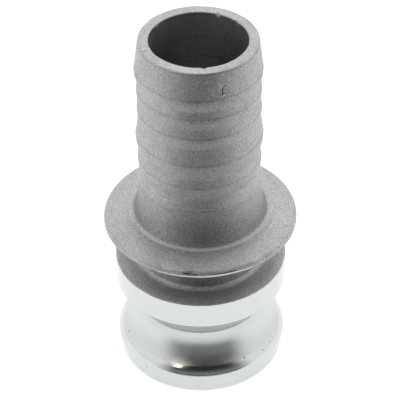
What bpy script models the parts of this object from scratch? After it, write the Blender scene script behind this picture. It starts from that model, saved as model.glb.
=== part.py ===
# Male cam-and-groove adapter for a 32 mm hose, one aluminium casting.
# The origin is the centre of the nose face, and +Z runs up to the hose end.

import math

import bpy

MM = 0.001

# Nose, the end that enters the female coupler
RING_DIAMETER = 45.5 * MM         # turned ring, and the lip of the nose
NOSE_FACE_DIAMETER = 44.2 * MM    # outer edge of the sealing face
NOSE_CHAMFER = 0.3 * MM           # radial width of the chamfer on that edge
NOSE_CHAMFER_HEIGHT = 1.7 * MM
NOSE_LAND_HEIGHT = 3.8 * MM       # near-straight band above the chamfer
LIP_ROUND_RADIUS = 4.35 * MM      # convex round from the band into the groove
LIP_START_ANGLE = math.radians(14.0)  # slope of that round where it leaves the band

# Cam groove, which the cam arms of the coupler pull on
GROOVE_DEPTH = 5.4 * MM
GROOVE_FLOOR_HEIGHT = 1.9 * MM
COVE_START_ANGLE = math.radians(8.0)  # slope of the cove where it leaves the floor
COVE_ANGLE = math.radians(50.0)   # slope where the cove meets the lip's round
FLANK_HEIGHT = 7.2 * MM
UNDERSIDE_WIDTH = 1.25 * MM       # flat under the ring

# Ring, turned on its rim and as cast on top
RING_HEIGHT = 7.4 * MM
RING_EDGE_WIDTH = 1.8 * MM        # soft cast edge above the turned rim
RING_EDGE_HEIGHT = 0.45 * MM

# Neck and flange
NECK_DIAMETER = 32.0 * MM
NECK_LENGTH = 11.6 * MM
NECK_FILLET_RADIUS = 2.5 * MM     # under the flange
NECK_FOOT_RADIUS = 8.0 * MM       # the neck flares towards the ring
NECK_FOOT_ANGLE = math.radians(22.0)
NECK_FOOT_FILLET_RADIUS = 1.6 * MM
FLANGE_DIAMETER = 50.9 * MM
FLANGE_THICKNESS = 2.6 * MM       # beside the stem
FLANGE_FLAT_DIAMETER = 42.4 * MM  # its top is flat out to here, where the hose stops
FLANGE_TOP_FALL = 1.0 * MM        # and then falls away to the edge
FLANGE_EDGE_RADIUS = 1.6 * MM     # rounded top edge

# Hose stem
BORE_DIAMETER = 24.6 * MM
STEM_WALL = 3.25 * MM             # wall at the waists between the barbs
PLAIN_STEM_RISE = 0.55 * MM       # plain stem below the barbs, above those waists
PLAIN_STEM_LENGTH = 10.7 * MM
STEM_FOOT_RADIUS = 12.0 * MM      # the plain stem flares towards the flange
STEM_FOOT_ANGLE = math.radians(28.0)
STEM_FILLET_RADIUS = 1.2 * MM
BARB_CREST_RISES = (0.70 * MM, 0.38 * MM, 0.76 * MM, 0.27 * MM, 0.26 * MM, 0.62 * MM)
LOWER_BARB_PITCH = 7.25 * MM      # the three barbs nearest the flange
UPPER_BARB_PITCH = 5.85 * MM      # the two below the tip
MIDDLE_BARB_PITCH = 7.9 * MM      # the fourth barb
TIP_LENGTH = 7.9 * MM             # long lead-in cone of the last barb
TIP_NARROWING = 0.45 * MM         # rim at the hose end, inside the waists
BARB_BACK_LENGTHS = (3.35 * MM, 4.7 * MM, 2.7 * MM, 2.85 * MM, 3.2 * MM)  # from each crest down to its waist
FIRST_BACK_LENGTH = 1.2 * MM      # from the lowest crest to the plain stem
BARB_CREST_LENGTH = 0.7 * MM      # rounded crest
TIP_EDGE = 0.25 * MM              # rounded corners of the rim at the hose end

# Bore of the nose, cored wider so that the wall behind the groove stays even
NOSE_WALL = 2.85 * MM
NOSE_MOUTH_CHAMFER = 0.6 * MM

TURN_STEPS = 64
ARC_STEPS = 6
FILLET_STEPS = 3
CREASE_ANGLE = math.radians(25.0)  # sharper edges than this stay crisp


def arcPoints(centre, radius, start, end, steps):
    """Points of an arc in the (radius, height) plane, both ends included."""
    points = []
    for i in range(steps + 1):
        angle = start + (end - start) * i / steps
        points.append((centre[0] + radius * math.cos(angle), centre[1] + radius * math.sin(angle)))
    return points


def flaredFoot(wallRadius, floorHeight, flare, angle, fillet):
    """Points of a wall that flares by an angle and ends in a fillet on the face below."""
    footBottom = floorHeight + fillet * (1.0 - math.sin(angle))
    centre = (wallRadius + flare, footBottom + flare * math.sin(angle))
    points = arcPoints(centre, flare, math.pi, math.pi + angle, FILLET_STEPS)
    centre = (points[-1][0] + fillet * math.cos(angle), floorHeight + fillet)
    return points + arcPoints(centre, fillet, math.pi + angle, math.pi * 1.5, FILLET_STEPS)[1:]


def barbPitches():
    """Length of each barb along the stem, from the flange up to the tip."""
    return [LOWER_BARB_PITCH] * 2 + [MIDDLE_BARB_PITCH] + [UPPER_BARB_PITCH] * 2 + [TIP_LENGTH]


def stemOutline(rootRadius, flangeTop):
    """Outer side of the hose stem from the rim down to the plain stem."""
    crestHeights = []
    height = flangeTop + PLAIN_STEM_LENGTH
    for pitch in barbPitches():
        crestHeights.append(height)
        height += pitch
    top = height

    tipRadius = rootRadius - TIP_NARROWING
    points = [(tipRadius - TIP_EDGE, top), (tipRadius, top - TIP_EDGE)]
    for i in reversed(range(len(crestHeights))):
        if i < len(BARB_BACK_LENGTHS):
            points.append((rootRadius, crestHeights[i + 1] - BARB_BACK_LENGTHS[i]))
        crest = rootRadius + BARB_CREST_RISES[i]
        points.append((crest, crestHeights[i] + BARB_CREST_LENGTH * 0.5))
        points.append((crest - 0.1 * BARB_CREST_RISES[i], crestHeights[i] - BARB_CREST_LENGTH * 0.5))
    points.append((rootRadius + PLAIN_STEM_RISE, crestHeights[0] - FIRST_BACK_LENGTH))
    return points, top


def adapterProfile():
    """Closed half section, down the outer side and back up the bore."""
    ringRadius = RING_DIAMETER / 2
    grooveRadius = ringRadius - GROOVE_DEPTH
    neckRadius = NECK_DIAMETER / 2
    flangeRadius = FLANGE_DIAMETER / 2
    boreRadius = BORE_DIAMETER / 2
    rootRadius = boreRadius + STEM_WALL
    plainRadius = rootRadius + PLAIN_STEM_RISE
    noseBoreRadius = grooveRadius - NOSE_WALL
    faceRadius = NOSE_FACE_DIAMETER / 2

    # The cove and the lip's round share their slope where they meet
    landTop = NOSE_CHAMFER_HEIGHT + NOSE_LAND_HEIGHT
    lipWidth = LIP_ROUND_RADIUS * (math.cos(LIP_START_ANGLE) - math.cos(COVE_ANGLE))
    lipHeight = LIP_ROUND_RADIUS * (math.sin(COVE_ANGLE) - math.sin(LIP_START_ANGLE))
    coveRadius = (GROOVE_DEPTH - lipWidth) / (math.cos(COVE_START_ANGLE) - math.cos(COVE_ANGLE))
    coveHeight = coveRadius * (math.sin(COVE_ANGLE) - math.sin(COVE_START_ANGLE))
    floorBottom = landTop + lipHeight + coveHeight
    floorTop = floorBottom + GROOVE_FLOOR_HEIGHT
    ringBottom = floorTop + FLANK_HEIGHT
    rimTop = ringBottom + RING_HEIGHT
    ringTop = rimTop + RING_EDGE_HEIGHT
    flangeBottom = ringTop + NECK_LENGTH
    flangeTop = flangeBottom + FLANGE_THICKNESS

    outline, top = stemOutline(rootRadius, flangeTop)
    quarter = math.pi / 2

    # Plain stem with its flared foot, and flange
    outline += flaredFoot(plainRadius, flangeTop, STEM_FOOT_RADIUS, STEM_FOOT_ANGLE, STEM_FILLET_RADIUS)
    flatRadius = FLANGE_FLAT_DIAMETER / 2
    outline.append((flatRadius, flangeTop))
    edge = FLANGE_EDGE_RADIUS
    fall = math.atan2(FLANGE_TOP_FALL, flangeRadius - flatRadius)
    centre = (flangeRadius - edge, flangeTop - FLANGE_TOP_FALL - edge * math.tan(quarter / 2 - fall / 2))
    outline += arcPoints(centre, edge, quarter - fall, 0.0, FILLET_STEPS)
    outline.append((flangeRadius, flangeBottom))

    # Neck, with a fillet under the flange and a flared foot on the ring
    fillet = NECK_FILLET_RADIUS
    centre = (neckRadius + fillet, flangeBottom - fillet)
    outline += arcPoints(centre, fillet, quarter, math.pi, FILLET_STEPS)
    outline += flaredFoot(neckRadius, ringTop, NECK_FOOT_RADIUS, NECK_FOOT_ANGLE, NECK_FOOT_FILLET_RADIUS)

    # Ring with its soft cast edge, turned rim and flat underside
    outline.append((ringRadius - RING_EDGE_WIDTH, ringTop))
    outline.append((ringRadius - RING_EDGE_WIDTH * 0.4, ringTop - RING_EDGE_HEIGHT * 0.35))
    outline.append((ringRadius, rimTop))
    outline.append((ringRadius, ringBottom))
    outline.append((ringRadius - UNDERSIDE_WIDTH, ringBottom))

    # Groove: flank, floor, cove and the round of the lip
    outline.append((grooveRadius, floorTop))
    centre = (grooveRadius + coveRadius * math.cos(COVE_START_ANGLE),
              floorBottom + coveRadius * math.sin(COVE_START_ANGLE))
    outline += arcPoints(centre, coveRadius, math.pi + COVE_START_ANGLE, math.pi + COVE_ANGLE, ARC_STEPS)
    centre = (ringRadius - LIP_ROUND_RADIUS * math.cos(LIP_START_ANGLE),
              landTop - LIP_ROUND_RADIUS * math.sin(LIP_START_ANGLE))
    outline += arcPoints(centre, LIP_ROUND_RADIUS, COVE_ANGLE, LIP_START_ANGLE, ARC_STEPS)[1:]

    # Nose
    outline.append((faceRadius + NOSE_CHAMFER, NOSE_CHAMFER_HEIGHT))
    outline.append((faceRadius, 0.0))

    # Bore, from the sealing face up
    outline.append((noseBoreRadius + NOSE_MOUTH_CHAMFER, 0.0))
    outline.append((noseBoreRadius, NOSE_MOUTH_CHAMFER))
    outline.append((noseBoreRadius, ringBottom))
    outline.append((boreRadius, ringTop))
    outline.append((boreRadius, top - TIP_EDGE))
    outline.append((boreRadius + TIP_EDGE, top))
    return outline


def castAluminium():
    """Grey blasted casting skin."""
    material = bpy.data.materials.new("cast_aluminium")
    material.use_nodes = True
    shader = material.node_tree.nodes["Principled BSDF"]
    shader.inputs["Base Color"].default_value = (0.42, 0.41, 0.40, 1.0)
    shader.inputs["Metallic"].default_value = 0.8
    shader.inputs["Roughness"].default_value = 0.55
    return material


def turnedBody(name, profile, collection):
    """Turn a closed half section about Z into one solid."""
    vertices = [(radius, 0.0, height) for radius, height in profile]
    edges = [(i, (i + 1) % len(vertices)) for i in range(len(vertices))]
    mesh = bpy.data.meshes.new(name)
    mesh.from_pydata(vertices, edges, [])
    body = bpy.data.objects.new(name, mesh)
    collection.objects.link(body)

    turn = body.modifiers.new("turn", "SCREW")
    turn.axis = "Z"
    turn.angle = 2.0 * math.pi
    turn.steps = TURN_STEPS
    turn.render_steps = TURN_STEPS
    turn.use_merge_vertices = True
    turn.merge_threshold = 0.00001

    # The turned surface becomes the mesh, smooth except at its crisp edges
    graph = bpy.context.evaluated_depsgraph_get()
    turned = bpy.data.meshes.new_from_object(body.evaluated_get(graph))
    body.modifiers.clear()
    body.data = turned
    bpy.data.meshes.remove(mesh)
    turned.name = name
    turned.shade_smooth()
    turned.set_sharp_from_angle(angle=CREASE_ANGLE)
    return body


def makeAdapter():
    for old in list(bpy.data.objects):
        bpy.data.objects.remove(old, do_unlink=True)
    collection = bpy.data.collections.new("cam_groove_hose_adapter")
    bpy.context.scene.collection.children.link(collection)
    body = turnedBody("adapter_body", adapterProfile(), collection)
    body.data.materials.append(castAluminium())
    return body


makeAdapter()
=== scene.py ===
import math

import bpy
import numpy as np
from mathutils import Matrix, Vector


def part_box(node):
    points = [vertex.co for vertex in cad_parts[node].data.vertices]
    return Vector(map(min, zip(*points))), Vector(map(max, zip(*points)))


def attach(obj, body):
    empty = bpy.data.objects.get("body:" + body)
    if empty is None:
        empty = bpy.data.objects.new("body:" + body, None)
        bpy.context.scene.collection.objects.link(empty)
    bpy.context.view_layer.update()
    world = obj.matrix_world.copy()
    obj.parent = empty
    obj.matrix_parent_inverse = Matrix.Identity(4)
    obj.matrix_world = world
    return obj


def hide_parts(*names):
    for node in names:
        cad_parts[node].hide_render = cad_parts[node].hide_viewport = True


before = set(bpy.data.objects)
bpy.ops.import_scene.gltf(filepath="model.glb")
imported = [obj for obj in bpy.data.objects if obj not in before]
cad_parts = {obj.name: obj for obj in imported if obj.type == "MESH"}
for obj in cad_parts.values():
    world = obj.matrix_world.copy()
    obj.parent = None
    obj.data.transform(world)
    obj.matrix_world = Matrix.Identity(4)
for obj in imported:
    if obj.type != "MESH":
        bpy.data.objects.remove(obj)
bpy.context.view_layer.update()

# A cast aluminium cam-and-groove hose adapter, standing on its nose.
# Everything is in metres; sizes in the dictionaries are in millimetres unless they say otherwise.

mm = 0.001
cadLow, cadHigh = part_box("adapter_body")
scene = bpy.context.scene

castingSizes = {
    "ringRadius": 22.75,
    "faceRadius": 22.1,         # outer edge of the sealing face
    "noseChamferHeight": 1.7,
    "noseChamferWidth": 0.3,
    "landTop": 5.5,             # the band on the nose ends here
    "lipRound": 4.35,
    "lipStart": 14.0,           # degrees, slope of that round where it leaves the band
    "coveSlope": 50.0,          # where the cove meets the round of the lip
    "coveStart": 8.0,           # where the cove leaves the floor of the groove
    "grooveRadius": 17.35,
    "floorHeight": 1.9,
    "flankHeight": 7.2,
    "undersideWidth": 1.25,
    "rimHeight": 7.4,           # turned rim of the ring
    "castEdgeWidth": 1.8,       # soft cast edge above it
    "castEdgeHeight": 0.45,
    "castEdgeMiddle": (0.25, 0.55),     # its bend: shares in from the rim and down from the top
    "castEdgeRound": 0.4,
    "neckRadius": 16.0,
    "neckLength": 11.6,
    "neckFillet": 2.5,
    "neckFoot": (8.0, 22.0, 1.6),   # its flare towards the ring: round, degrees, fillet
    "flangeThickness": 2.6,     # beside the stem
    "flangeFlat": 21.2,         # its top is flat out to here
    "flangeBend": 18.0,
    "flangeFall": 1.0,          # and then falls away to the edge
    "flangeRound": 1.6,         # its top edge
    "plainRadius": 16.1,
    "plainLength": 10.7,
    "stemFoot": (12.0, 28.0, 1.2),
    "rootRadius": 15.55,        # waists between the barbs
    "barbRises": (0.70, 0.38, 0.76, 0.27, 0.26, 0.62),
    "barbPitches": (7.25, 7.25, 7.9, 5.85, 5.85, 7.9),
    "barbBacks": (1.2, 3.35, 4.7, 2.7, 2.85, 3.2),  # from each crest down to its waist
    "waistRound": 1.2,
    "backRound": 2.5,
    "bulgeDrop": 0.1,           # share of the rise by which the bulge lies inside the crest
    "bulgeAt": 0.35,            # and its place, as a share of the way down the back
    "crestLift": 0.05,
    "crestEdge": 0.15,
    "beadWidth": 0.10,          # small bead along each crest
    "beadHeight": 0.4,
    "tipNarrowing": 0.45,       # rim at the hose end, inside the waists
    "boreRadius": 12.3,
    "noseBoreRadius": 14.5,
    "turnedEdge": 0.15,         # broken edges of the turned faces
    "rimEdge": 0.08,
    "floorFillet": 0.1,
    "chamferEdge": 0.3,
    "noseEdge": 0.35,
    "mouthEdge": 0.5,
    "castEdge": 0.3,
    "castBend": 2.0,            # soft bends on the ring and in the bore
    "flangeUnderEdge": 0.12,    # lower edge of the flange
    "spacing": 0.65,            # along the outline, on the outside
    "boreSpacing": 3.0,
    "boreFineAbove": 96.5,      # the rim is as fine inside as outside
    "boreWaist": 0.004,         # a corner too slight to see, where the steps in the bore change
    "crispBend": 7.0,           # degrees; a sharper bend keeps its edge between close points
    "crispReach": 0.07,
    "around": 248,              # steps round the axis
}


def coveRound(s):
    # Radius of the cove. It and the round of the lip span the depth of the groove together,
    # and each spans its radius * the difference between the cosines of its two slopes.
    lip, slope, start = (math.cos(math.radians(s[name])) for name in ("lipStart", "coveSlope", "coveStart"))
    return (s["ringRadius"] - s["grooveRadius"] - s["lipRound"] * (lip - slope)) / (start - slope)


def castingHeights(s):
    # Heights of the casting's edges from the nose up, each the last one plus a size. Lip and
    # cove rise by their radius * the difference between the sines of their two slopes.
    lip, slope, start = (math.sin(math.radians(s[name])) for name in ("lipStart", "coveSlope", "coveStart"))
    floorBottom = s["landTop"] + s["lipRound"] * (slope - lip) + coveRound(s) * (slope - start)
    heights = {"noseChamfer": s["noseChamferHeight"], "floorBottom": floorBottom, "top": cadHigh.z / mm}
    last = floorBottom
    for name, size in (
            ("floorTop", "floorHeight"), ("ringBottom", "flankHeight"), ("rimTop", "rimHeight"),
            ("ringTop", "castEdgeHeight"), ("flangeBottom", "neckLength"),
            ("flangeTop", "flangeThickness"), ("firstCrest", "plainLength")):
        last += s[size]
        heights[name] = last
    return heights


def flaredFoot(wallRadius, floorHeight, flare, degrees, fillet):
    # Two corners of a wall that flares by an angle and meets the face below in a fillet: the
    # flare's corner is flare * tan(half the angle) below its start.
    angle = math.radians(degrees)
    reach = flare * math.tan(angle / 2)
    bend = floorHeight + fillet * (1 - math.sin(angle)) + reach * math.cos(angle)
    footRadius = wallRadius + (bend - floorHeight) * math.tan(angle)
    return (wallRadius, bend, flare), (footRadius, floorHeight, fillet)


def barbCorners(s, crest):
    # From the lowest barb up: a waist, the bulge of the back, the crest and the top of its bead
    corners = []
    for rise, pitch, back in zip(s["barbRises"], s["barbPitches"], s["barbBacks"]):
        waist = s["rootRadius"] if corners else s["plainRadius"]
        crestRadius = s["rootRadius"] + rise
        corners += [
            (waist, crest - back, s["waistRound"]),
            (crestRadius - s["bulgeDrop"] * rise, crest - s["bulgeAt"] * back, s["backRound"]),
            (crestRadius, crest + s["crestLift"], s["crestEdge"]),
            (crestRadius - s["beadWidth"], crest + s["beadHeight"], s["beadHeight"]),
        ]
        crest += pitch
    return corners


def castingCorners(s):
    # Corners of the half section as (radius, height, corner round), from the rim of the hose
    # end down the outer side, across the sealing face and back up the bore.
    at = castingHeights(s)
    flangeRadius = cadHigh.x / mm
    ring, groove = s["ringRadius"], s["grooveRadius"]
    inFromRim, belowTop = s["castEdgeMiddle"]
    lip, slope, start = (math.radians(s[name]) for name in ("lipStart", "coveSlope", "coveStart"))
    cove = coveRound(s)
    lipReach = s["lipRound"] * math.tan((slope - lip) / 2)
    coveReach = cove * math.tan((slope - start) / 2)
    return np.array([
        (s["rootRadius"] - s["tipNarrowing"], at["top"], s["castEdge"]),
        *barbCorners(s, at["firstCrest"])[::-1],
        *flaredFoot(s["plainRadius"], at["flangeTop"], *s["stemFoot"]),
        (s["flangeFlat"], at["flangeTop"], s["flangeBend"]),
        (flangeRadius, at["flangeTop"] - s["flangeFall"], s["flangeRound"]),
        (flangeRadius, at["flangeBottom"], s["flangeUnderEdge"]),
        (s["neckRadius"], at["flangeBottom"], s["neckFillet"]),
        *flaredFoot(s["neckRadius"], at["ringTop"], *s["neckFoot"]),
        (ring - s["castEdgeWidth"], at["ringTop"], s["castBend"]),
        (ring - inFromRim * s["castEdgeWidth"], at["ringTop"] - belowTop * s["castEdgeHeight"],
         s["castEdgeRound"]),
        (ring, at["rimTop"], s["rimEdge"]),
        (ring, at["ringBottom"], s["turnedEdge"]),
        (ring - s["undersideWidth"], at["ringBottom"], s["turnedEdge"]),
        (groove, at["floorTop"], s["floorFillet"]),
        (groove, at["floorBottom"], 0.0),
        (groove + coveReach * math.sin(start), at["floorBottom"] - coveReach * math.cos(start), cove),
        (ring - lipReach * math.sin(lip), s["landTop"] + lipReach * math.cos(lip), s["lipRound"]),
        (ring, s["landTop"], 0.0),
        (s["faceRadius"] + s["noseChamferWidth"], s["noseChamferHeight"], s["chamferEdge"]),
        (s["faceRadius"], 0.0, s["noseEdge"]),
        (s["noseBoreRadius"], 0.0, s["mouthEdge"]),
        (s["noseBoreRadius"], at["ringBottom"], s["castBend"]),
        (s["boreRadius"], at["ringTop"], s["castBend"]),
        (s["boreRadius"] + s["boreWaist"], s["boreFineAbove"], 0.0),
        (s["boreRadius"], at["top"], s["castEdge"]),
    ])


def roundCorners(corners, s):
    # Each corner gives way to an arc that touches both its sides, radius * tan(half the turn)
    # from the corner; the arc is cut into equal steps.
    points = []
    for i, (*here, rounding) in enumerate(corners):
        before = corners[i - 1, :2] - here
        after = corners[(i + 1) % len(corners), :2] - here
        lengthBefore, lengthAfter = np.linalg.norm(before), np.linalg.norm(after)
        before, after = before / lengthBefore, after / lengthAfter
        turn = math.pi - math.acos(np.clip(before @ after, -1, 1))
        reach = rounding * math.tan(turn / 2)
        if rounding < 4:        # the large rounds meet their neighbours exactly
            reach = min(reach, 0.6 * lengthBefore, 0.6 * lengthAfter)
        radius = reach / math.tan(turn / 2)
        middle = here + (before + after) / np.linalg.norm(before + after) * radius / math.cos(turn / 2)
        steps = max(2, int(math.ceil(radius * turn / (0.8 * s["spacing"]))))
        start, end = here + before * reach - middle, here + after * reach - middle
        share = np.linspace(0, 1, steps + 1)[:, None]
        swing = (np.sin((1 - share) * turn) * start + np.sin(share * turn) * end) / math.sin(turn)
        points += list(middle + swing)
    points = np.array(points)
    return points[np.linalg.norm(points - np.roll(points, 1, axis=0), axis=1) > 1e-5]


def fillRuns(points, s):
    # Straight runs are cut into equal steps, and a run that ends in a crisp bend also gets a
    # point close beside it.
    side = np.roll(points, -1, axis=0) - points
    heading = np.arctan2(side[:, 1], side[:, 0])
    bend = np.abs(np.angle(np.exp(1j * (heading - np.roll(heading, 1)))))
    crisp = bend > math.radians(s["crispBend"])
    filled = []
    for a, b, crispA, crispB in zip(points, np.roll(points, -1, axis=0), crisp, np.roll(crisp, -1)):
        length = np.linalg.norm(b - a)
        inBore = max(a[0], b[0]) < s["noseBoreRadius"] + 0.1 and min(a[1], b[1]) < s["boreFineAbove"]
        steps = max(1, int(round(length / (s["boreSpacing"] if inBore else s["spacing"]))))
        shares = set(np.arange(steps) / steps)
        if length > 4 * s["crispReach"]:
            shares |= {s["crispReach"] / length} if crispA else set()
            shares |= {1 - s["crispReach"] / length} if crispB else set()
        filled += [a + (b - a) * share for share in sorted(shares)]
    return np.array(filled)


def smoothStep(low, high, value):
    # 0 up to low, 1 from high on, and 3t^2 - 2t^3 of the share t between them
    t = np.clip((value - low) / (high - low), 0, 1)
    return t * t * (3 - 2 * t)


def latticeNoise(around, along, cells, cellHeight, seed):
    # Random values on a lattice that closes round the axis, blended smoothly between its
    # corners: a weight of 3t^2 - 2t^3 on each side of a cell. Runs from -1 to 1.
    dice = np.random.default_rng(seed)
    rows = int(along.max() / cellHeight) + 3
    lattice = dice.uniform(-1, 1, (rows, cells))
    u = around / (2 * math.pi) * cells
    v = along / cellHeight
    column, row = np.floor(u).astype(int), np.floor(v).astype(int)
    tu, tv = smoothStep(0, 1, u - column), smoothStep(0, 1, v - row)
    left, right = column % cells, (column + 1) % cells
    low = lattice[row, left] * (1 - tu) + lattice[row, right] * tu
    high = lattice[row + 1, left] * (1 - tu) + lattice[row + 1, right] * tu
    return low * (1 - tv) + high * tv


# Unevenness of the cast skin. A wave is its depth, cells round the axis, cell height and seed.
unevenness = {
    "waves": ((0.07, 9, 9.0, 3), (0.04, 34, 2.6, 5), (0.02, 96, 0.9, 8)),
    "sink": 0.04,               # how far the skin lies inside the outline on the whole
    "start": 0.5,               # height over which it sets in above the turned rim
    "lean": (0.13, 7, 6.0, 12),     # the barbs also run a little up and down
    "leanFrom": (50, 54),
    "leanTo": (96, 98),
}

# Dents in the casting: degrees round from +X, height, radius of the surface there, then
# half width round the axis, half width along the outline, and depth
dents = {
    "nick behind the rim": (67, 98.7, 12.4, 0.8, 0.5, 0.35),
    "small nick beside it": (38, 98.7, 12.4, 0.6, 0.4, 0.25),
    "nick on the left of the rim": (146, 98.7, 12.4, 0.7, 0.4, 0.25),
    "notch in front": (-84, 98.7, 12.4, 0.5, 0.4, 0.3),
    "chip on the outer rim": (-22, 98.6, 15.3, 1.3, 0.5, 0.25),
    "small chip above it": (-3, 98.7, 15.2, 0.6, 0.4, 0.25),
    "crack in the rim": (-159, 98.8, 14.0, 0.25, 1.4, 0.07),
    "fold beside the crack in the tip": (-65.5, 93.5, 15.9, 0.7, 0.6, 0.12),
    "void in the flange edge": (-95, 45.0, 25.4, 0.8, 0.5, 0.6),
    "dip in the flange edge": (-112, 45.6, 25.1, 2.2, 0.9, 0.3),
    "broken corner of the flange": (-52, 45.8, 25.0, 1.8, 0.7, 0.35),
    "low spot on the flange": (-140, 46.2, 24.6, 3.0, 1.2, 0.25),
}


def castingSurface(s, u):
    # The outline is carried round the axis. Each point moves along the outline's own normal
    # by the casting's unevenness and its dents, and stays inside the box of the CAD solid.
    outline = fillRuns(roundCorners(castingCorners(s), s), s)
    count = len(outline)
    run = np.linalg.norm(outline - np.roll(outline, 1, axis=0), axis=1)
    run[0] = 0
    tangent = np.roll(outline, -1, axis=0) - np.roll(outline, 1, axis=0)
    tangent /= np.linalg.norm(tangent, axis=1)[:, None]
    normalR, normalZ = -tangent[:, 1], tangent[:, 0]
    turn = np.linspace(0, 2 * math.pi, s["around"], endpoint=False)
    angle, along = np.meshgrid(turn, np.cumsum(run), indexing="ij")
    radius = np.broadcast_to(outline[:, 0], angle.shape).copy()
    height = np.broadcast_to(outline[:, 1], angle.shape).copy()

    # Turned faces are left true; only what is above the rim of the ring or in the bore is uneven
    rimTop = castingHeights(s)["rimTop"]
    cast = np.where(radius < s["noseBoreRadius"] + 0.1, 1.0, smoothStep(rimTop, rimTop + u["start"], height))
    push = -u["sink"] + sum(depth * latticeNoise(angle, along, *cells) for depth, *cells in u["waves"])
    for degrees, z, r, halfAround, halfAlong, depth in dents.values():
        away = np.angle(np.exp(1j * (angle - math.radians(degrees)))) * radius
        aside = np.hypot(height - z, radius - r)
        push -= depth * np.exp(-(away / halfAround) ** 2 - (aside / halfAlong) ** 2)
    onStem = smoothStep(*u["leanFrom"], height) * smoothStep(*u["leanTo"][::-1], height)
    onStem *= radius > s["rootRadius"] - 1
    depth, *cells = u["lean"]
    lean = depth * latticeNoise(angle, along, *cells) * onStem
    radius += push * cast * normalR
    height += push * cast * normalZ + lean
    height = np.clip(height, cadLow.z / mm, cadHigh.z / mm)
    radius = np.minimum(radius, cadHigh.x / mm)
    points = np.stack([radius * np.cos(angle), radius * np.sin(angle), height], -1).reshape(-1, 3) * mm

    i, j = np.meshgrid(np.arange(s["around"]), np.arange(count), indexing="ij")
    nextI, nextJ = (i + 1) % s["around"], (j + 1) % count
    faces = np.stack([i * count + j, i * count + nextJ, nextI * count + nextJ, nextI * count + j], -1)
    return points, faces.reshape(-1, 4)


def meshPiece(name, points, faces, material=None):
    mesh = bpy.data.meshes.new(name)
    mesh.from_pydata(points, [], faces)
    mesh.update()
    mesh.shade_smooth()
    if material:
        mesh.materials.append(material)
    piece = bpy.data.objects.new(name, mesh)
    scene.collection.objects.link(piece)
    return piece


castingPoints, castingFaces = castingSurface(castingSizes, unevenness)
casting = meshPiece("hose_adapter_casting", castingPoints, castingFaces)
castingNormals = np.empty(castingPoints.size, dtype=np.float32)
casting.data.vertices.foreach_get("normal", castingNormals)
castingNormals = castingNormals.reshape(-1, 3)
print("casting:", 2 * len(castingFaces), "triangles")


def newNode(tree, kind, **values):
    node = tree.nodes.new(kind)
    for name, value in values.items():
        setattr(node, name, value)
    return node


def feed(tree, socket, value):
    if isinstance(value, bpy.types.NodeSocket):
        tree.links.new(value, socket)
    elif value is not None:
        socket.default_value = value


def calc(tree, operation, a, b=None, c=None):
    node = newNode(tree, "ShaderNodeMath", operation=operation)
    for socket, value in zip(node.inputs, (a, b, c)):
        feed(tree, socket, value)
    return node.outputs[0]


def allOf(tree, first, *others):
    for other in others:
        first = calc(tree, "MULTIPLY", first, other)
    return first


def anyOf(tree, first, *others):
    for other in others:
        first = calc(tree, "MAXIMUM", first, other)
    return first


def weighed(tree, *pairs):
    # Sum of each value times its weight
    total = calc(tree, "MULTIPLY", *pairs[0])
    for value, weight in pairs[1:]:
        total = calc(tree, "MULTIPLY_ADD", value, weight, total)
    return total


def ramp(tree, value, low, high, toLow=0.0, toHigh=1.0):
    node = newNode(tree, "ShaderNodeMapRange", interpolation_type="SMOOTHSTEP")
    for socket, number in zip(node.inputs, (value, low, high, toLow, toHigh)):
        feed(tree, socket, number)
    return node.outputs["Result"]


def under(tree, value, edge, fade):
    # 1 below the edge and 0 above it, with a smooth fade across it, both in millimetres
    return ramp(tree, value, (edge + fade / 2) * mm, (edge - fade / 2) * mm)


def over(tree, value, edge, fade):
    return ramp(tree, value, (edge - fade / 2) * mm, (edge + fade / 2) * mm)


def vectorCalc(tree, operation, a, b=None, scale=None):
    node = newNode(tree, "ShaderNodeVectorMath", operation=operation)
    feed(tree, node.inputs[0], a)
    feed(tree, node.inputs[1], b)
    if scale is not None:
        feed(tree, node.inputs["Scale"], scale)
    return node.outputs["Value" if operation in ("LENGTH", "DISTANCE", "DOT_PRODUCT") else "Vector"]


def blend(tree, share, a, b, kind="RGBA"):
    node = newNode(tree, "ShaderNodeMix", data_type=kind)
    for name, value in (("Factor", share), ("A", a), ("B", b)):
        feed(tree, node.inputs[name], value)
    return node.outputs["Result"]


def noise(tree, vector, size, detail=2.0, roughness=0.5, w=None):
    # size is the width of the blotches, in millimetres
    node = newNode(tree, "ShaderNodeTexNoise", noise_dimensions="3D" if w is None else "4D")
    feed(tree, node.inputs["Vector"], vector)
    if w is not None:
        feed(tree, node.inputs["W"], w)
    node.inputs["Scale"].default_value = 1 / (size * mm)
    node.inputs["Detail"].default_value = detail
    node.inputs["Roughness"].default_value = roughness
    return node.outputs[0]


def placeParts(tree):
    # Place on the piece, its X, Y and Z, and the distance from the axis
    place = newNode(tree, "ShaderNodeTexCoord").outputs["Object"]
    parts = newNode(tree, "ShaderNodeSeparateXYZ")
    feed(tree, parts.inputs[0], place)
    radius = vectorCalc(tree, "LENGTH", vectorCalc(tree, "MULTIPLY", place, (1, 1, 0)))
    return place, *parts.outputs, radius


finishOutputs = [
    ("Colour", "NodeSocketColor"), ("Roughness", "NodeSocketFloat"), ("Relief", "NodeSocketFloat")]


def newGroup(name, inputs, outputs):
    tree = bpy.data.node_groups.new(name, "ShaderNodeTree")
    for label, kind in inputs:
        tree.interface.new_socket(label, in_out="INPUT", socket_type=kind)
    for label, kind in outputs:
        tree.interface.new_socket(label, in_out="OUTPUT", socket_type=kind)
    return tree, tree.nodes.new("NodeGroupInput").outputs, tree.nodes.new("NodeGroupOutput").inputs


def useGroup(tree, group, **values):
    node = newNode(tree, "ShaderNodeGroup", node_tree=group)
    for name, value in values.items():
        feed(tree, node.inputs[name], value)
    return node.outputs


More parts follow.
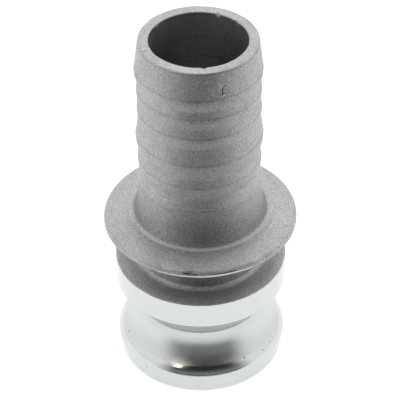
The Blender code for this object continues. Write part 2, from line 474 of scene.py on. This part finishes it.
castSkin = {
    "colour": (0.595, 0.592, 0.586, 1),
    "darkColour": (0.375, 0.372, 0.368, 1),
    # colour of the painted glint on picked facets
    "brightColour": (0.95, 0.95, 0.95, 1),
    "roughness": 0.48,
    "roughnessSwing": 0.08,
    "mottle": (6.5, 0.35),      # size and weight in the colour
    "coarse": (0.8, 0.45),
    "fine": (0.27, 1.5),
    "toneRange": (0.85, 1.45),  # their sum, from the dark colour to the plain one
    "coarseRelief": 0.024,
    "fineRelief": 0.16,
    "facetSize": 0.34,
    "facetPick": (0.80, 0.98),  # about one facet in ten gets the painted glint
    "facetEdge": (0.55, 0.2),   # and its painted glint fades towards its edge
    "facetPaintedGlint": 0.55,
    "facetRelief": 0.05,
}


def castSkinGroup(s):
    # Blasted skin: mottling, coarse grain and fine grain darken and lighten one grey, and
    # single facets of the grain are raised in the bump and painted lighter, a painted glint.
    tree, given, out = newGroup("castSkin", [("Position", "NodeSocketVector")], finishOutputs)
    place = given["Position"]
    mottle = noise(tree, place, s["mottle"][0], 3, 0.55)
    coarse = noise(tree, place, s["coarse"][0], 2, 0.6)
    fine = noise(tree, place, s["fine"][0], 2, 0.6)
    tone = weighed(tree, (mottle, s["mottle"][1]), (coarse, s["coarse"][1]), (fine, s["fine"][1]))
    colour = blend(tree, ramp(tree, tone, *s["toneRange"]), s["darkColour"], s["colour"])
    facets = newNode(tree, "ShaderNodeTexVoronoi")
    feed(tree, facets.inputs["Vector"], place)
    facets.inputs["Scale"].default_value = 1 / (s["facetSize"] * mm)
    pick = newNode(tree, "ShaderNodeSeparateColor")
    feed(tree, pick.inputs[0], facets.outputs["Color"])
    chosen = ramp(tree, pick.outputs[0], *s["facetPick"])
    lit = allOf(tree, chosen, ramp(tree, facets.outputs["Distance"], *s["facetEdge"]))
    relief = weighed(tree, (coarse, s["coarseRelief"]), (fine, s["fineRelief"]), (lit, s["facetRelief"]))
    rough, swing = s["roughness"], s["roughnessSwing"]
    # Painted glint: picked facets are painted lighter in colour, standing in for glints
    feed(tree, out["Colour"], blend(tree, allOf(tree, lit, s["facetPaintedGlint"]), colour, s["brightColour"]))
    feed(tree, out["Roughness"], ramp(tree, fine, 0.2, 0.8, rough + swing, rough - swing))
    feed(tree, out["Relief"], relief)
    return tree


turnedFinish = {
    "colour": (0.63, 0.665, 0.655, 1),
    "brightColour": (0.69, 0.72, 0.71, 1),
    "roughness": 0.15,
    "roughnessSwing": 0.03,
    "lineSize": 0.16,
    "bandSize": 0.9,
    "cloudSize": 4.0,
    "cloudWeight": 0.7,
    "toneRange": (0.5, 1.2),    # lines and clouds, from the plain colour to the bright one
    "stretch": 0.012,           # of the lines round the axis
    "relief": 0.0012,
    "coveRoughness": 0.33,
    "flankRoughness": 0.12,     # added on the flank of the groove
    "flankPaintedShade": 0.84,         # painted shade: the flank under the ring is darkened in colour
    # painted shade: the floor of the groove under the ring is darkened in colour
    "floorShade": 0.92,
    "borderDrop": 0.09,         # the cast skin reaches this far down the rim
    "borderWander": 0.2,
    "wanderSize": 2.2,
    "borderFade": 0.08,
}


def turnedFinishGroup(s):
    # Lathe finish: fine lines that run round the axis, from noise that is stretched round it
    # and squeezed along the radius and the height.
    tree, given, out = newGroup(
        "turnedFinish", [("Position", "NodeSocketVector"), ("Radius", "NodeSocketFloat")], finishOutputs)
    squeeze = vectorCalc(tree, "MULTIPLY", given["Position"], (s["stretch"], s["stretch"], 1.0))
    lines, bands = (
        noise(tree, squeeze, size, 2, roughness, w=calc(tree, "DIVIDE", given["Radius"], size * mm))
        for size, roughness in ((s["lineSize"], 0.6), (s["bandSize"], 0.5)))
    cloud = noise(tree, given["Position"], s["cloudSize"], 3, 0.6)
    tone = ramp(tree, calc(tree, "MULTIPLY_ADD", cloud, s["cloudWeight"], lines), *s["toneRange"])
    feed(tree, out["Colour"], blend(tree, tone, s["colour"], s["brightColour"]))
    swing = s["roughnessSwing"]
    bandSwing, cloudSwing = (ramp(tree, value, 0.3, 0.7, -swing, swing) for value in (bands, cloud))
    rough = calc(tree, "ADD", calc(tree, "ADD", bandSwing, cloudSwing), s["roughness"])
    feed(tree, out["Roughness"], rough)
    feed(tree, out["Relief"], weighed(tree, (lines, s["relief"]), (bands, s["relief"])))
    return tree


def streakGroup():
    # A streak is 1 on the straight line between two points and falls to 0 one width away.
    ends = [("Position", "NodeSocketVector"), ("From", "NodeSocketVector"), ("To", "NodeSocketVector")]
    tree, given, out = newGroup(
        "streak", ends + [("Width", "NodeSocketFloat")], [("Mask", "NodeSocketFloat")])
    reach = vectorCalc(tree, "SUBTRACT", given["To"], given["From"])
    away = vectorCalc(tree, "SUBTRACT", given["Position"], given["From"])
    share = calc(tree, "DIVIDE", *(vectorCalc(tree, "DOT_PRODUCT", line, reach) for line in (away, reach)))
    share = calc(tree, "MINIMUM", calc(tree, "MAXIMUM", share, 0.0), 1.0)
    distance = vectorCalc(tree, "DISTANCE", away, vectorCalc(tree, "SCALE", reach, scale=share))
    feed(tree, out["Mask"], ramp(tree, calc(tree, "DIVIDE", distance, given["Width"]), 1.0, 0.2))
    return tree


def onCasting(degrees, radius, height):
    # The nearest corner of the mesh and its normal give the plane that the point drops onto
    a = math.radians(degrees)
    target = np.array([radius * math.cos(a), radius * math.sin(a), height]) * mm
    nearest = np.argmin(((castingPoints - target) ** 2).sum(1))
    normal = castingNormals[nearest]
    return tuple(target + normal * ((castingPoints[nearest] - target) @ normal))


# Pores that the lathe opened, and specks: degrees round, radius, height, size
pores = {
    "on the lip, right": (-57.0, 21.6, 8.5, 0.30),
    "small, beside it": (-67.0, 21.4, 8.65, 0.20),
    "further right": (-40.5, 22.1, 7.75, 0.24),
    "near the edge, right": (-31.0, 22.0, 7.95, 0.18),
    "in the middle": (-96.5, 21.3, 8.7, 0.22),
    "on the rim of the ring": (-62.5, 22.75, 25.8, 0.18),
    "lip, far left": (-161.0, 21.55, 8.5, 0.22),
    "lip, left": (-150.0, 22.05, 7.85, 0.2),
    "nose band, left": (-131.0, 22.65, 4.4, 0.3),
    "lip, behind": (58.0, 22.0, 7.9, 0.26),
    "rim, behind": (115.0, 22.75, 28.2, 0.2),
}

# Cracks in the casting's skin: degrees, radius and height of both ends, and width
cracks = {
    "tip, middle": ((-69.0, 15.85, 94.15), (-69.3, 15.95, 92.7), 0.26),
    "tip, upper right": ((-68.9, 15.85, 94.2), (-65.6, 15.8, 94.9), 0.15),
    "tip, lower right": ((-69.2, 15.95, 92.8), (-65.5, 15.95, 92.6), 0.17),
    "tip, lower left": ((-69.3, 15.95, 92.7), (-71.6, 16.0, 92.2), 0.15),
    "flange edge": ((-100.0, 25.35, 44.6), (-93.0, 25.4, 44.5), 0.3),
    "flange edge, right of it": ((-93.0, 25.4, 44.5), (-84.0, 25.4, 44.35), 0.18),
    "rim": ((-159.5, 13.2, 98.8), (-158.6, 14.9, 98.8), 0.13),
}

# Scratches: degrees, radius and height of both ends, and width
scratches = {
    "flange, left": ((-131, 21.5, 46.2), (-113, 24.9, 45.9), 0.16),
    "flange, right": ((-7, 20.5, 46.2), (-17, 23.9, 46.2), 0.16),
    "flange, front right": ((-18, 20.4, 46.2), (-37, 20.4, 46.2), 0.14),
    "ring, left": ((-147, 19.5, 31.9), (-114, 21.9, 31.7), 0.14),
    "ring, left, beside it": ((-145, 20.6, 31.9), (-118, 22.3, 31.6), 0.12),
    "tip, above the crack": ((-71.5, 15.7, 95.6), (-69.6, 15.85, 94.2), 0.3),
    "tip, beside the crack": ((-65.2, 15.85, 94.2), (-65.0, 15.85, 94.1), 0.3),
    "rim of the ring": ((-82.5, 22.75, 27.7), (-79.5, 22.75, 29.3), 0.10),
}

markLooks = {
    "poreColour": (0.06, 0.06, 0.06, 1),
    "poreDepth": 0.08,
    "scratchColour": (0.85, 0.85, 0.85, 1),
    "scratchShare": 0.65,
    "scratchDepth": 0.02,
}

# Ground band on the lower edge of the flange in front, with a thicker part
flangeSliver = {
    "tall": 0.42,
    "taller": 0.75,             # extra height of the thick part
    "thickFrom": 2.0,           # x of the thick part
    "thickTo": 9.5,
    "left": -13.0,              # x of the ends
    "right": 13.8,
    "front": -13.5,             # y that it stays in front of
    "depth": 1.05,              # how far it reaches in from the edge
    "below": 0.35,              # and on to the face under the flange
    "ragged": 0.45,
    "topFade": 0.08,
}

# Painted shade: darker bands of colour at the foot of the stem and of the neck, under the tip, at the nose
# chamfer and along each crest, where shade falls, by
# the edge they lie at: how far above it, reach below and above that, and share
paintedShadeBands = {
    "flangeTop": (0.8, 0.6, 6.0, 0.38),
    "ringTop": (1.0, 0.5, 3.5, 0.45),
    "top": (-0.55, 0.4, 0.35, 0.22),
    "noseChamfer": (0.0, 0.2, 0.2, 0.14),
}
# painted shade along each crest: how far above it, reach below and above that, and share
crestPaintedShade = (0.45, 0.3, 0.4, 0.18)
paintedShadeLooks = {
    # colour that the painted shade bands darken towards
    "colour": (0.05, 0.04, 0.035, 1),
    "ragged": (0.1, 0.6),       # range of the noise that breaks the bands up
    "thinnest": 0.6,            # what it leaves of their share at least
}

# Painted shade inside the bore: a darker colour and the share by which it is blended in
borePaintedShade = {"colour": (0.33, 0.325, 0.312, 1), "share": 0.6}


def turnedMask(tree, place, height, radius, at):
    # Turned: outside, and below the top of the ring's rim, where the border wanders a little
    t = turnedFinish
    wander = noise(tree, place, t["wanderSize"], 2)
    border = calc(tree, "MULTIPLY_ADD", wander, t["borderWander"] * mm, (at["rimTop"] - t["borderDrop"]) * mm)
    belowBorder = under(tree, calc(tree, "SUBTRACT", height, border), 0, t["borderFade"])
    return allOf(tree, belowBorder, over(tree, radius, castingSizes["noseBoreRadius"] + 0.15, 0.2))


def sliverMask(tree, ragged, x, y, height, radius, at):
    s = flangeSliver
    thick = allOf(tree, over(tree, x, s["thickFrom"], 3), under(tree, x, s["thickTo"], 3))
    tall = calc(tree, "MULTIPLY_ADD", thick, s["taller"] * mm, (s["tall"] - 0.5 * s["ragged"]) * mm)
    tall = calc(tree, "MULTIPLY_ADD", ragged, s["ragged"] * mm, tall)
    ends = allOf(
        tree, over(tree, x, s["left"] + 2, 4), under(tree, x, s["right"] - 0.5, 1),
        under(tree, y, s["front"], 3))
    top = calc(tree, "MULTIPLY_ADD", tall, ends, at["flangeBottom"] * mm)
    return allOf(
        tree, under(tree, calc(tree, "SUBTRACT", height, top), 0, s["topFade"]), ramp(tree, ends, 0.0, 0.1),
        over(tree, radius, cadHigh.x / mm - s["depth"], 0.2),
        over(tree, height, at["flangeBottom"] - s["below"], 0.3))


def grooveFinish(tree, lathe, height, radius, at):
    # Inside the groove the lathe left the cove rougher, and the flank and the floor are darkened in colour,
    # painted shade under the ring
    s, t = castingSizes, turnedFinish
    underside, groove, bottom = s["ringRadius"] - s["undersideWidth"], s["grooveRadius"], at["floorBottom"]
    cove = allOf(tree, under(tree, radius, underside - 0.45, 0.5), under(tree, height, bottom + 0.15, 0.6))
    flank = allOf(tree, under(tree, radius, underside, 0.2), over(tree, height, at["floorTop"], 0.15))
    floor = allOf(tree, under(tree, radius, groove + 0.2, 0.3), over(tree, height, bottom, 0.3))
    # Painted shade on the floor and the flank of the groove, under the ring
    shade = blend(tree, floor, 1.0, t["floorShade"], "FLOAT")
    shade = blend(tree, flank, shade, t["flankPaintedShade"], "FLOAT")
    roughness = calc(tree, "MULTIPLY_ADD", cove, t["coveRoughness"] - t["roughness"], lathe["Roughness"])
    roughness = calc(tree, "MULTIPLY_ADD", flank, t["flankRoughness"], roughness)
    return vectorCalc(tree, "SCALE", lathe["Colour"], scale=shade), roughness


def boreMask(tree, height, radius, at):
    # The bore and the wider bore in the nose, whose colour is darkened: painted shade inside the tube
    bore, noseBore = castingSizes["boreRadius"], castingSizes["noseBoreRadius"]
    return anyOf(
        tree,
        allOf(tree, under(tree, radius, bore + 0.3, 0.3), under(tree, height, at["top"] - 0.4, 0.4)),
        allOf(tree, under(tree, radius, noseBore + 0.15, 0.2), under(tree, height, at["ringTop"] + 0.1, 1)))


def paintedShadeMasks(tree, ragged, height, at):
    # Masks of the painted shade bands: darker colour by height in the corners, under the tip, at the nose
    # chamfer and along the crests
    crests = at["firstCrest"] + np.cumsum((0, *castingSizes["barbPitches"][:-1]))
    bands = [(at[edge], *sizes) for edge, sizes in paintedShadeBands.items()]
    bands += [(float(crest), *crestPaintedShade) for crest in crests]
    for edge, lift, below, above, share in bands:
        middle = edge + lift
        yield allOf(
            tree, ramp(tree, height, (middle - below) * mm, middle * mm),
            ramp(tree, height, (middle + above) * mm, middle * mm),
            ramp(tree, ragged, *paintedShadeLooks["ragged"], paintedShadeLooks["thinnest"] * share, share))


def markMasks(tree, place):
    # Pores and cracks together, and scratches
    spots = []
    for degrees, r, z, size in pores.values():
        distance = vectorCalc(tree, "DISTANCE", place, onCasting(degrees, r, z))
        spots.append(ramp(tree, distance, size * mm, 0.4 * size * mm))
    streak = streakGroup()
    cracked, scratched = (
        [useGroup(tree, streak, Position=place, From=onCasting(*a), To=onCasting(*b), Width=w * mm)["Mask"]
         for a, b, w in lines.values()] for lines in (cracks, scratches))
    return anyOf(tree, *spots, *cracked), anyOf(tree, *scratched)


def castingMaterial():
    material = bpy.data.materials.new("castAndTurnedAluminium")
    material.use_nodes = True
    tree = material.node_tree
    shader = tree.nodes["Principled BSDF"]
    at = castingHeights(castingSizes)
    place, x, y, height, radius = placeParts(tree)
    ragged = noise(tree, place, 0.9, 3, 0.65)
    turned = anyOf(
        tree, turnedMask(tree, place, height, radius, at), sliverMask(tree, ragged, x, y, height, radius, at))
    cast = useGroup(tree, castSkinGroup(castSkin), Position=place)
    lathe = useGroup(tree, turnedFinishGroup(turnedFinish), Position=place, Radius=radius)
    latheColour, latheRoughness = grooveFinish(tree, lathe, height, radius, at)
    colour = blend(tree, turned, cast["Colour"], latheColour)
    roughness = blend(tree, turned, cast["Roughness"], latheRoughness, "FLOAT")
    relief = blend(tree, turned, cast["Relief"], lathe["Relief"], "FLOAT")

    # Painted shade inside the bore
    inBore = allOf(tree, boreMask(tree, height, radius, at), borePaintedShade["share"])
    colour = blend(tree, inBore, colour, borePaintedShade["colour"])
    # Painted shade: the colour is darkened in bands in the corners, under the tip, at the nose chamfer and
    # along the crests
    for shadeBand in paintedShadeMasks(tree, ragged, height, at):
        colour = blend(tree, shadeBand, colour, paintedShadeLooks["colour"])
    s = markLooks
    pore, scratched = markMasks(tree, place)
    colour = blend(tree, allOf(tree, scratched, s["scratchShare"]), colour, s["scratchColour"])
    colour = blend(tree, pore, colour, s["poreColour"])
    relief = calc(tree, "MULTIPLY_ADD", pore, -s["poreDepth"], relief)
    relief = calc(tree, "MULTIPLY_ADD", scratched, -s["scratchDepth"], relief)

    bump = newNode(tree, "ShaderNodeBump")
    bump.inputs["Strength"].default_value = 1.0
    bump.inputs["Distance"].default_value = mm
    feed(tree, bump.inputs["Height"], relief)
    feed(tree, shader.inputs["Base Color"], colour)
    feed(tree, shader.inputs["Roughness"], roughness)
    feed(tree, shader.inputs["Normal"], bump.outputs["Normal"])
    shader.inputs["Metallic"].default_value = 1.0
    return material


casting.data.materials.append(castingMaterial())
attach(casting, "root")
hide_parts("adapter_body")
print("finishes: cast skin, turned faces and marks")

studio = {
    "floorHalf": 3.0,           # metres
    "floorDrop": 0.02 * mm,     # just under the object
    "floorShade": 0.3,
    "floorGlow": 0.82,
    "worldLevel": 1.0,
}

# A dark card in front of the object, which its metal reflects: sizes in metres and degrees
darkCard = {
    "start": 0.055,             # it lies on the table
    "full": 0.110,              # and is solid from here on
    "reach": 0.36,
    "lift": 0.5 * mm,
    "top": 86.0,                # up, where it ends over the object
    "left": 61.0,               # round from the front
    "right": 69.0,
    "fade": 30.0,               # over which its sides thin out
    "topFade": 14.0,            # and its top
    "dark": 0.065,              # shade of its upper part
    "pale": 0.60,               # and of its lower part
    "darkUp": 46.0,             # up, where it is darkest
    "paleUp": -15.0,
    "onTable": 0.15,            # share of its shade that is left on the table
    "tableBlend": (0.002, 0.06),
}


def matt(name):
    material = bpy.data.materials.new(name)
    material.use_nodes = True
    shader = material.node_tree.nodes["Principled BSDF"]
    shader.inputs["Roughness"].default_value = 1.0
    shader.inputs["Specular IOR Level"].default_value = 0.0
    return material, material.node_tree, shader


def makeFloor(s):
    # A grey floor that shows white to the camera and in reflections, and keeps its shadow
    material, tree, shader = matt("paleTable")
    shader.inputs["Base Color"].default_value = (s["floorShade"], s["floorShade"], s["floorShade"], 1)
    path = newNode(tree, "ShaderNodeLightPath").outputs
    seen = anyOf(tree, path["Is Camera Ray"], path["Is Glossy Ray"], path["Is Transmission Ray"])
    glow = newNode(tree, "ShaderNodeEmission")
    feed(tree, glow.inputs["Strength"], allOf(tree, seen, s["floorGlow"]))
    both = newNode(tree, "ShaderNodeAddShader")
    tree.links.new(shader.outputs[0], both.inputs[0])
    tree.links.new(glow.outputs[0], both.inputs[1])
    tree.links.new(both.outputs[0], tree.nodes["Material Output"].inputs["Surface"])
    half, height = s["floorHalf"], -s["floorDrop"]
    corners = [(-half, -half, height), (half, -half, height), (half, half, height), (-half, half, height)]
    meshPiece("pale_table", np.array(corners), [(0, 1, 2, 3)], material)


def cardMaterial(s):
    # It thins out towards its sides, its top and the object, and is palest near the table.
    material, tree, shader = matt("darkCard")
    _, x, y, height, flat = placeParts(tree)
    sideways = calc(tree, "ARCTAN2", x, calc(tree, "MULTIPLY", y, -1.0))
    up = calc(tree, "ARCTAN2", height, flat)
    left, right, top = (math.radians(angle) for angle in (-s["left"], s["right"], s["top"]))
    fade, topFade = math.radians(s["fade"]), math.radians(s["topFade"])
    cover = allOf(
        tree, ramp(tree, sideways, left, left + fade), ramp(tree, sideways, right, right - fade),
        ramp(tree, up, top, top - topFade), ramp(tree, flat, s["start"], s["full"]))
    shade = ramp(tree, up, math.radians(s["paleUp"]), math.radians(s["darkUp"]), s["pale"], s["dark"])
    shade = allOf(tree, shade, ramp(tree, height, *s["tableBlend"], s["onTable"], 1.0))
    colour = newNode(tree, "ShaderNodeCombineColor")
    for socket in colour.inputs:
        feed(tree, socket, shade)
    feed(tree, shader.inputs["Base Color"], colour.outputs[0])
    feed(tree, shader.inputs["Alpha"], cover)
    return material


def makeDarkCard(s):
    # A straight run out on the table, then a circle about the object's foot up over the
    # camera, carried part of the way round.
    rise = np.radians(np.linspace(0, s["top"], 30))
    out = np.concatenate([[s["start"]], s["reach"] * np.cos(rise)])
    height = np.concatenate([[0], s["reach"] * np.sin(rise)]) + s["lift"]
    turn = np.radians(np.linspace(-90 - s["left"], -90 + s["right"], 49))
    around, reach = np.meshgrid(turn, out, indexing="ij")
    height = np.broadcast_to(height, around.shape)
    points = np.stack([reach * np.cos(around), reach * np.sin(around), height], -1).reshape(-1, 3)
    rows, columns = around.shape
    i, j = np.meshgrid(np.arange(rows - 1), np.arange(columns - 1), indexing="ij")
    first = i * columns + j
    faces = np.stack([first, first + columns, first + columns + 1, first + 1], -1).reshape(-1, 4)
    card = meshPiece("dark_card", points, faces, cardMaterial(s))
    card.visible_camera = False
    card.visible_shadow = False
    card.visible_diffuse = False


def makeWorld(level):
    scene.world = bpy.data.worlds.new("studio")
    scene.world.use_nodes = True
    background = scene.world.node_tree.nodes["Background"]
    background.inputs["Color"].default_value = (1, 1, 1, 1)
    background.inputs["Strength"].default_value = level


# Soft lamps: place, what it points at and size in metres, then watts and colour
lamps = {
    "softTop": ((0.1, 0.35, 0.9), (0, 0, 0.05), (0.5, 0.5), 1.2, (1, 1, 1)),
    "smallWarm": ((-0.126, -0.180, 0.232), (-0.0065, -0.0207, 0.008), (0.040, 0.10), 0.034, (1, 0.93, 0.80)),
}


def makeLamp(name, place, target, size, watts, colour):
    lamp = bpy.data.lights.new(name, "AREA")
    lamp.shape = "RECTANGLE"
    lamp.size, lamp.size_y = size
    lamp.energy = watts
    lamp.color = colour
    holder = bpy.data.objects.new(name, lamp)
    holder.location = place
    holder.rotation_euler = (Vector(target) - Vector(place)).to_track_quat("-Z", "Y").to_euler()
    holder.visible_camera = False
    scene.collection.objects.link(holder)


cameraSizes = {
    "elevation": 38.65,     # degrees above the table
    "distance": 446.6,
    "aimHeight": 48.86,
    "aimAside": -0.03,
    "aimDown": 0.40,
    "roll": 0.57,           # degrees
    "lens": 153.0,
    "sensor": 36,
}


def makeCamera(s):
    tilt, roll = math.radians(s["elevation"]), math.radians(s["roll"])
    right = Vector((1, 0, 0))
    up = Vector((0, math.sin(tilt), math.cos(tilt)))
    back = Vector((0, -math.cos(tilt), math.sin(tilt)))
    aim = Vector((0, 0, s["aimHeight"])) + s["aimAside"] * right - s["aimDown"] * up
    place = (aim + back * s["distance"]) * mm
    across = math.cos(roll) * right - math.sin(roll) * up
    upright = math.sin(roll) * right + math.cos(roll) * up
    camera = bpy.data.cameras.new("studioCamera")
    camera.lens = s["lens"]
    camera.sensor_width = s["sensor"]
    camera.clip_start = 0.01
    holder = bpy.data.objects.new("studioCamera", camera)
    turn = Matrix((across, upright, back)).transposed().to_4x4()
    holder.matrix_world = Matrix.Translation(place) @ turn
    scene.collection.objects.link(holder)
    scene.camera = holder


makeFloor(studio)
makeDarkCard(darkCard)
makeWorld(studio["worldLevel"])
for lampName, lampSizes in lamps.items():
    makeLamp(lampName, *lampSizes)
makeCamera(cameraSizes)
scene.view_settings.view_transform = "Standard"
print("studio: floor, card, world, lamps and camera")
